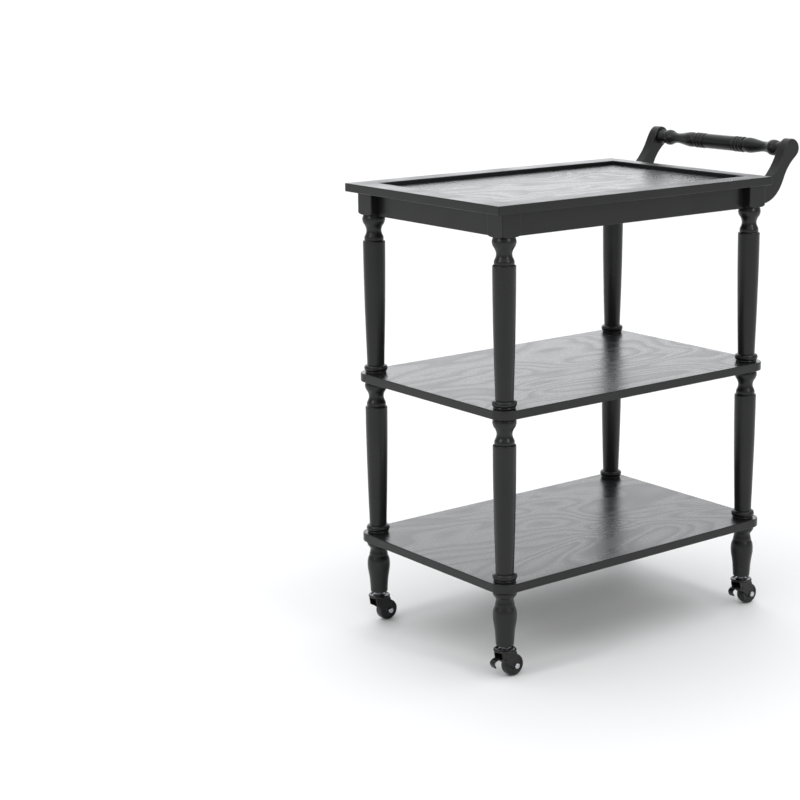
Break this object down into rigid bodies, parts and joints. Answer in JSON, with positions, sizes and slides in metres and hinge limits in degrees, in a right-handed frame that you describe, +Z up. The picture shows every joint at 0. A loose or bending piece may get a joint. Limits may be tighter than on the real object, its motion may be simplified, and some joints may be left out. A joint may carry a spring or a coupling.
{
  "type": "bar cart",
  "caption": "Three-tier wooden bar cart with a framed recessed top, turned legs, two open shelves, a turned push handle and swivel casters, some with toe brakes.",
  "frame": {"origin": "middle of the cart's footprint on the floor, under the wheels", "axes": "+X along the length towards the push handle, +Y towards the rear long side, +Z up"},
  "size_m": [0.7464, 0.427, 0.8705],
  "materials": {
    "turned_wood": "solid hardwood turning, sprayed satin black",
    "painted_board": "planed board, sprayed satin black",
    "oak_veneer": "veneered board with its grain showing through satin black lacquer",
    "zinc_steel": "bright zinc plate",
    "black_steel": "black coated pressed steel",
    "black_plastic": "moulded black plastic with a satin tread"
  },
  "bodies": {
    "frame": {"top_rail_front": "painted_board", "top_rail_right": "painted_board", "top_rail_rear": "painted_board", "top_rail_left": "painted_board", "top_panel": "oak_veneer", "apron_front": "painted_board", "apron_rear": "painted_board", "apron_left": "painted_board", "apron_right": "painted_board", "corner_brace_front_left": "painted_board", "corner_brace_rear_left": "painted_board", "corner_brace_front_right": "painted_board", "corner_brace_rear_right": "painted_board", "upper_post_front_left": "turned_wood", "lower_post_front_left": "turned_wood", "foot_front_left": "turned_wood", "upper_stud_front_left": "zinc_steel", "lower_stud_front_left": "zinc_steel", "upper_post_rear_left": "turned_wood", "lower_post_rear_left": "turned_wood", "foot_rear_left": "turned_wood", "upper_stud_rear_left": "zinc_steel", "lower_stud_rear_left": "zinc_steel", "upper_post_front_right": "turned_wood", "lower_post_front_right": "turned_wood", "foot_front_right": "turned_wood", "upper_stud_front_right": "zinc_steel", "lower_stud_front_right": "zinc_steel", "upper_post_rear_right": "turned_wood", "lower_post_rear_right": "turned_wood", "foot_rear_right": "turned_wood", "upper_stud_rear_right": "zinc_steel", "lower_stud_rear_right": "zinc_steel", "handle_arm_front": "painted_board", "arm_stud_front_lower": "zinc_steel", "arm_stud_front_upper": "zinc_steel", "handle_arm_rear": "painted_board", "arm_stud_rear_lower": "zinc_steel", "arm_stud_rear_upper": "zinc_steel", "handle_bar": "turned_wood", "middle_shelf": "oak_veneer", "bottom_shelf": "oak_veneer", "caster_stem_front_left": "zinc_steel", "caster_stem_rear_left": "zinc_steel", "caster_stem_front_right": "zinc_steel", "caster_stem_rear_right": "zinc_steel"},
    "caster_front_left": {"caster_fork_front_left": "black_steel", "caster_axle_front_left": "zinc_steel"},
    "wheel_front_left": {"caster_wheel_front_left": "black_plastic"},
    "brake_front_left": {"brake_lever_front_left": "black_steel"},
    "caster_rear_left": {"caster_fork_rear_left": "black_steel", "caster_axle_rear_left": "zinc_steel"},
    "wheel_rear_left": {"caster_wheel_rear_left": "black_plastic"},
    "caster_front_right": {"caster_fork_front_right": "black_steel", "caster_axle_front_right": "zinc_steel"},
    "wheel_front_right": {"caster_wheel_front_right": "black_plastic"},
    "brake_front_right": {"brake_lever_front_right": "black_steel"},
    "caster_rear_right": {"caster_fork_rear_right": "black_steel", "caster_axle_rear_right": "zinc_steel"},
    "wheel_rear_right": {"caster_wheel_rear_right": "black_plastic"}
  },
  "joints": [
    {"name": "swivel_front_left", "type": "hinge", "parent": "frame", "child": "caster_front_left", "pos_m": [-0.3348, -0.18075, 0.05], "axis": [0, 0, 1], "continuous": true},
    {"name": "roll_front_left", "type": "hinge", "parent": "caster_front_left", "child": "wheel_front_left", "pos_m": [-0.3188, -0.18075, 0.019], "axis": [0, 1, 0], "continuous": true},
    {"name": "brake_front_left", "type": "hinge", "parent": "caster_front_left", "child": "brake_front_left", "pos_m": [-0.3408, -0.18075, 0.034], "axis": [0, -1, 0], "range_deg": [0, 14]},
    {"name": "swivel_rear_left", "type": "hinge", "parent": "frame", "child": "caster_rear_left", "pos_m": [-0.3348, 0.18075, 0.05], "axis": [0, 0, 1], "continuous": true},
    {"name": "roll_rear_left", "type": "hinge", "parent": "caster_rear_left", "child": "wheel_rear_left", "pos_m": [-0.3188, 0.18075, 0.019], "axis": [0, 1, 0], "continuous": true},
    {"name": "swivel_front_right", "type": "hinge", "parent": "frame", "child": "caster_front_right", "pos_m": [0.2432, -0.18075, 0.05], "axis": [0, 0, 1], "continuous": true},
    {"name": "roll_front_right", "type": "hinge", "parent": "caster_front_right", "child": "wheel_front_right", "pos_m": [0.2592, -0.18075, 0.019], "axis": [0, 1, 0], "continuous": true},
    {"name": "brake_front_right", "type": "hinge", "parent": "caster_front_right", "child": "brake_front_right", "pos_m": [0.2372, -0.18075, 0.034], "axis": [0, -1, 0], "range_deg": [0, 14]},
    {"name": "swivel_rear_right", "type": "hinge", "parent": "frame", "child": "caster_rear_right", "pos_m": [0.2432, 0.18075, 0.05], "axis": [0, 0, 1], "continuous": true},
    {"name": "roll_rear_right", "type": "hinge", "parent": "caster_rear_right", "child": "wheel_rear_right", "pos_m": [0.2592, 0.18075, 0.019], "axis": [0, 1, 0], "continuous": true}
  ]
}
